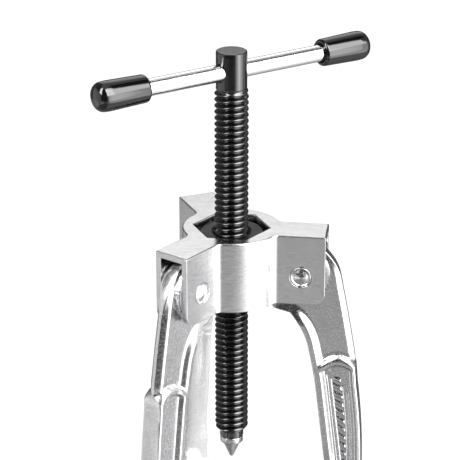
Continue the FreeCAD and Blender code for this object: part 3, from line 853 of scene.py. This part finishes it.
# how far inside the arm's edge its mesh rows lie, closer together across the ribs
ROWS_IN = (0.08, 0.2, 0.35, 0.55, 0.8, 1.2, 1.6, 2.0, 2.4, 2.8, 3.2, 3.6, 4.0, 4.4, 4.55, 4.7, 4.9,
           5.05, 5.2, 5.55, 5.7, 5.85, 6.0, 6.15, 6.35, 6.6, 6.75, 6.9, 7.05, 7.25, 7.45, 7.6,
           7.75, 7.9, 8.1)
GRID = 0.6
HUB_ROWS, HUB_POINTS = (4.5, 8.0, 12.9, 13.15, 13.4, 13.65), 150
ARM_BORE, BORE_POINTS = 4.06, 40
EDGE_ROUND = 0.35


def circle(radius, count):
    """Points evenly round a circle about the pivot."""
    return [(radius * math.cos(a), radius * math.sin(a)) for a in np.arange(count) * TURN / count]


def rows_inside(loop, closed):
    """Copies of the outline moved inward, less the points that come too near another edge."""
    following = np.roll(loop, -1, axis=0) - np.roll(loop, 1, axis=0)
    inward = np.stack([following[:, 1], -following[:, 0]], axis=1)
    inward /= np.linalg.norm(inward, axis=1)[:, None]
    if not inside(loop[:3] + inward[:3] * 0.05, loop).all():
        inward = -inward
    rows = []
    for distance in ROWS_IN:
        row = loop + inward * distance
        rows.append(row[(distance_to(row, closed) > distance - 0.03) & inside(row, loop)])
    return np.concatenate(rows)


def arm_points(loop, closed):
    """The mesh points inside the arm's outline: rows along its edge, a grid in the middle, rings
    round the hub and rows along the arch."""
    def kept(points, gap):
        points = points[inside(points, loop)]
        return points[distance_to(points, closed) > gap]

    across, up = np.arange(-20, 31, GRID), np.arange(CLAW_FACE - 14, 16, GRID)
    grid = np.stack(np.meshgrid(across, up), -1).reshape(-1, 2)
    hub = np.array([point for radius in HUB_ROWS for point in circle(radius, HUB_POINTS)])
    arch = np.array([(x, arch_level(x) - drop) for drop in np.arange(-3.4, 4.6, 0.35)
                     for x in np.arange(2, 28, GRID)])
    fill = np.concatenate([rows_inside(loop, closed), kept(grid, ROWS_IN[-1] + 0.2),
                           kept(hub, 0.3), kept(arch, 0.25)])
    return fill[np.hypot(fill[:, 0], fill[:, 1]) > ARM_BORE + 0.3]


def ring_edges(first, count):
    """The edges that close count points, numbered from first, into a ring."""
    return [(first + i, first + (i + 1) % count) for i in range(count)]


def arm_shell():
    """Vertices and faces of one arm about its pivot, with x outward, y across and z up."""
    outer, inner = arm_edges()
    loop = np.concatenate([outer[:-1], inner[:-1]])
    closed = np.vstack([loop, loop[:1]])
    bore = np.array(circle(ARM_BORE, BORE_POINTS))
    points = np.concatenate([loop, bore, arm_points(loop, closed)])
    edges = ring_edges(0, len(loop)) + ring_edges(len(loop), len(bore))
    verts, _, faces, *_ = delaunay_2d_cdt([Vector(p) for p in points], edges, [], 1, 1e-4)
    flat = np.array([tuple(v) for v in verts])
    faces = [f for f in faces if np.hypot(*flat[list(f)].mean(0)) > ARM_BORE * 0.98]
    half, relief = half_thickness(flat, outer, inner)
    ease = np.clip(1 - distance_to(flat, closed) / EDGE_ROUND, 0, 1)
    half = half - EDGE_ROUND * (1 - np.sqrt(np.clip(1 - ease ** 2, 0, 1)))
    count = len(flat)
    near = np.stack([flat[:, 0], half, flat[:, 1]], 1)
    far = np.stack([flat[:, 0], -half - relief, flat[:, 1]], 1)
    shell = [tuple(f) for f in faces] + [tuple(i + count for i in reversed(f)) for f in faces]
    used = {pair: True for f in faces for pair in zip(f, f[1:] + f[:1])}
    shell += [(b, a, a + count, b + count) for a, b in used if (b, a) not in used]
    return np.concatenate([near, far]), shell


def make_arms():
    """The same forging on each wing."""
    vertices, faces = arm_shell()
    for letter in BEARINGS:
        node = "arm_" + letter
        new_piece(node + "_body", moved(vertices, on_wing(letter)), faces, node, node,
                  FORGING, 48.0)


# ------------------------------------------------------------------ build

make_spindle()
make_bar()
make_pins_and_washers()
make_thrust_parts()
make_arms()
softened("yoke", 0.4, SHEET, "yoke", 0.9)
softened("threaded_nut", 0.25, NUT, "nut")


# ------------------------------------------------------------------ floor, light and camera

def make_floor():
    """A plain pale floor just below the lowest point."""
    floor_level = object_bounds()[0][2]
    bpy.ops.mesh.primitive_plane_add(size=12.0, location=(0, 0, floor_level - 0.0002))
    floor = bpy.context.object
    floor.name = "floor"
    n = Nodes("floor")
    n.set(Base_Color=n.mix_colour(n.noise(60.0, 2.0), (0.86, 0.86, 0.86), (0.90, 0.90, 0.90)),
          Roughness=0.9, Specular_IOR_Level=0.0)
    floor.data.materials.append(n.material)
    floor.visible_glossy = False


CAMERA_AZIMUTH, CAMERA_ELEVATION = math.radians(7.57), math.radians(21.94)
CAMERA_DISTANCE, LENS, SENSOR = 1.01995, 169.52, 36.0
SHIFT = (-0.0034, -0.0090)


def around(azimuth, elevation, distance, centre):
    """A point seen from the centre at an azimuth (0 in front, growing to the right) and an
    elevation."""
    way = Vector((math.sin(azimuth) * math.cos(elevation), -math.cos(azimuth) * math.cos(elevation),
                  math.sin(elevation)))
    return centre + way * distance


def aim(thing, target):
    """Turn a lamp or a camera so that it looks at a point."""
    thing.rotation_euler = (thing.location - target).to_track_quat("Z", "Y").to_euler()


def make_overhead_lamp(centre):
    """A large soft lamp for the floor and matt surfaces; glossy ones see the reflection dome."""
    bearing, elevation, distance, size, power = math.radians(20), math.radians(66), 1.3, 1.0, 8.0
    light = bpy.data.lights.new("overhead", "AREA")
    light.shape, light.size, light.size_y, light.energy = "RECTANGLE", size, size, power
    lamp = bpy.data.objects.new("overhead", light)
    bpy.context.scene.collection.objects.link(lamp)
    lamp.location = around(CAMERA_AZIMUTH + bearing, elevation, distance, centre)
    aim(lamp, centre)
    lamp.visible_camera = False
    lamp.visible_glossy = False


def grey_ramp(nodes, value, stops):
    """A colour ramp from (position, grey) stops, as one grey output."""
    ramp = nodes.add("ShaderNodeValToRGB")
    elements = ramp.color_ramp.elements
    while len(elements) < len(stops):
        elements.new(0.5)
    for element, (position, grey) in zip(elements, stops):
        element.position = position
        element.color = (grey, grey, grey, 1.0)
    nodes.link(value, ramp.inputs["Fac"])
    return ramp.outputs["Color"]


# brightness of the studio round the object, by degrees to the right of the camera, at six heights
FLOOR = [(-180, 0.5), (-60, 0.35), (20, 0.35), (40, 1.0), (88, 1.0), (104, 0.7), (150, 0.3),
         (180, 0.3)]
BELOW = [(-180, 0.12), (-160, 0.12), (-150, 0.55), (-122, 0.6), (-104, 1.4), (-96, 1.3),
         (-84, 0.8), (-70, 0.8), (-62, 1.7), (-27, 1.7), (-18, 0.64), (-4, 0.64), (8, 0.72),
         (18, 0.9), (30, 1.5), (46, 2.0), (56, 4.0), (83, 4.0), (89, 0.76), (110, 0.68),
         (118, 0.10), (180, 0.10)]
MIDDLE = [(-180, 0.12), (-122, 0.2), (-112, 0.95), (-58, 0.95), (-48, 0.08), (24, 0.08),
          (44, 4.0), (54, 7.0), (65, 7.0), (69, 3.4), (84, 3.4), (90, 1.0), (112, 0.9),
          (120, 0.10), (180, 0.12)]
UPPER = [(-180, 1.7), (-166, 1.5), (-152, 0.2), (-69, 0.2), (-65, 13.0), (-45, 13.0), (-39, 0.05),
         (22, 0.05), (30, 12.0), (62, 12.0), (66, 8.5), (82, 8.5), (88, 0.4), (150, 0.4),
         (164, 1.6), (180, 1.7)]
HIGH = [(-180, 0.9), (-160, 0.3), (-116, 0.15), (-69, 0.15), (-65, 14.0), (-45, 14.0),
        (-39, 0.05), (16, 0.05), (24, 14.0), (66, 14.0), (72, 8.0), (82, 8.0), (88, 0.04),
        (122, 0.04), (136, 0.5), (180, 0.9)]
TOP = [(-180, 0.9), (180, 0.9)]
# each height with its share by elevation, laid one over the other
HEIGHTS = [(FLOOR, [(-90, 1), (90, 1)]), (BELOW, [(-36, 0), (-30, 1), (90, 1)]),
           (MIDDLE, [(-20, 0), (-17, 1), (90, 1)]), (UPPER, [(18, 0), (22, 1), (90, 1)]),
           (HIGH, [(46, 0), (49, 1), (90, 1)]), (TOP, [(66, 0), (71, 1), (90, 1)])]
BRIGHTEST = 14.0
DOME_RADIUS, DOME_HEIGHT = 3.0, 0.08


def make_reflection_dome():
    """A glowing shell round the object that only reflections see: large soft boxes at both
    sides, a white sweep behind and a dark gap round the camera."""
    bpy.ops.mesh.primitive_uv_sphere_add(segments=64, ring_count=32, radius=DOME_RADIUS,
                                         location=(0, 0, DOME_HEIGHT))
    dome = bpy.context.object
    dome.name = "reflection_dome"
    n = Nodes("reflection_dome")
    turn = n.add("ShaderNodeVectorRotate", rotation_type="Z_AXIS")
    n.link(n.place, turn.inputs["Vector"])
    turn.inputs["Angle"].default_value = -CAMERA_AZIMUTH
    split = n.add("ShaderNodeSeparateXYZ")
    flat = n.add("ShaderNodeVectorMath", operation="NORMALIZE")
    n.link(turn.outputs["Vector"], flat.inputs[0])
    n.link(flat.outputs["Vector"], split.inputs["Vector"])
    toward = n.maths("MULTIPLY", split.outputs["Y"], -1.0)
    azimuth = n.maths("ARCTAN2", split.outputs["X"], toward)
    elevation = n.add("ShaderNodeMath", operation="ARCSINE")
    n.link(split.outputs["Z"], elevation.inputs[0])
    across = n.span(azimuth, -math.pi, math.pi, 0.0, 1.0)
    upward = n.span(elevation.outputs[0], -math.pi / 2, math.pi / 2, 0.0, 1.0)
    total = (0.0, 0.0, 0.0)
    for around_stops, height_stops in HEIGHTS:
        level = grey_ramp(n, across, [((a + 180) / 360, v / BRIGHTEST) for a, v in around_stops])
        share = grey_ramp(n, upward, [((e + 90) / 180, v) for e, v in height_stops])
        total = n.mix_colour(share, total, level)
    glow = n.add("ShaderNodeEmission")
    n.link(total, glow.inputs["Color"])
    glow.inputs["Strength"].default_value = BRIGHTEST
    n.link(glow.outputs["Emission"], n.tree.nodes["Material Output"].inputs["Surface"])
    n.material.cycles.emission_sampling = "NONE"
    dome.data.materials.append(n.material)
    for kind in ("camera", "diffuse", "transmission", "volume_scatter", "shadow"):
        setattr(dome, "visible_" + kind, False)


def make_light():
    """White surroundings for matt surfaces, one lamp and the reflection dome."""
    world = bpy.data.worlds.new("studio")
    bpy.context.scene.world = world
    world.use_nodes = True
    background = world.node_tree.nodes["Background"]
    background.inputs["Color"].default_value = (1.0, 1.0, 1.0, 1.0)
    background.inputs["Strength"].default_value = 1.1
    world.cycles_visibility.glossy = False
    make_overhead_lamp(Vector((0, 0, YOKE_TOP * MM)))
    make_reflection_dome()


def make_camera():
    """A long lens that looks at the middle of the yoke's top."""
    camera = bpy.data.objects.new("camera", bpy.data.cameras.new("camera"))
    bpy.context.scene.collection.objects.link(camera)
    target = Vector((0, 0, YOKE_TOP * MM))
    camera.location = around(CAMERA_AZIMUTH, CAMERA_ELEVATION, CAMERA_DISTANCE, target)
    aim(camera, target)
    camera.data.sensor_width, camera.data.lens = SENSOR, LENS
    camera.data.shift_x, camera.data.shift_y = SHIFT
    camera.data.clip_end = 30.0
    bpy.context.scene.camera = camera


make_floor()
make_light()
make_camera()
bpy.context.scene.view_settings.view_transform = "Standard"
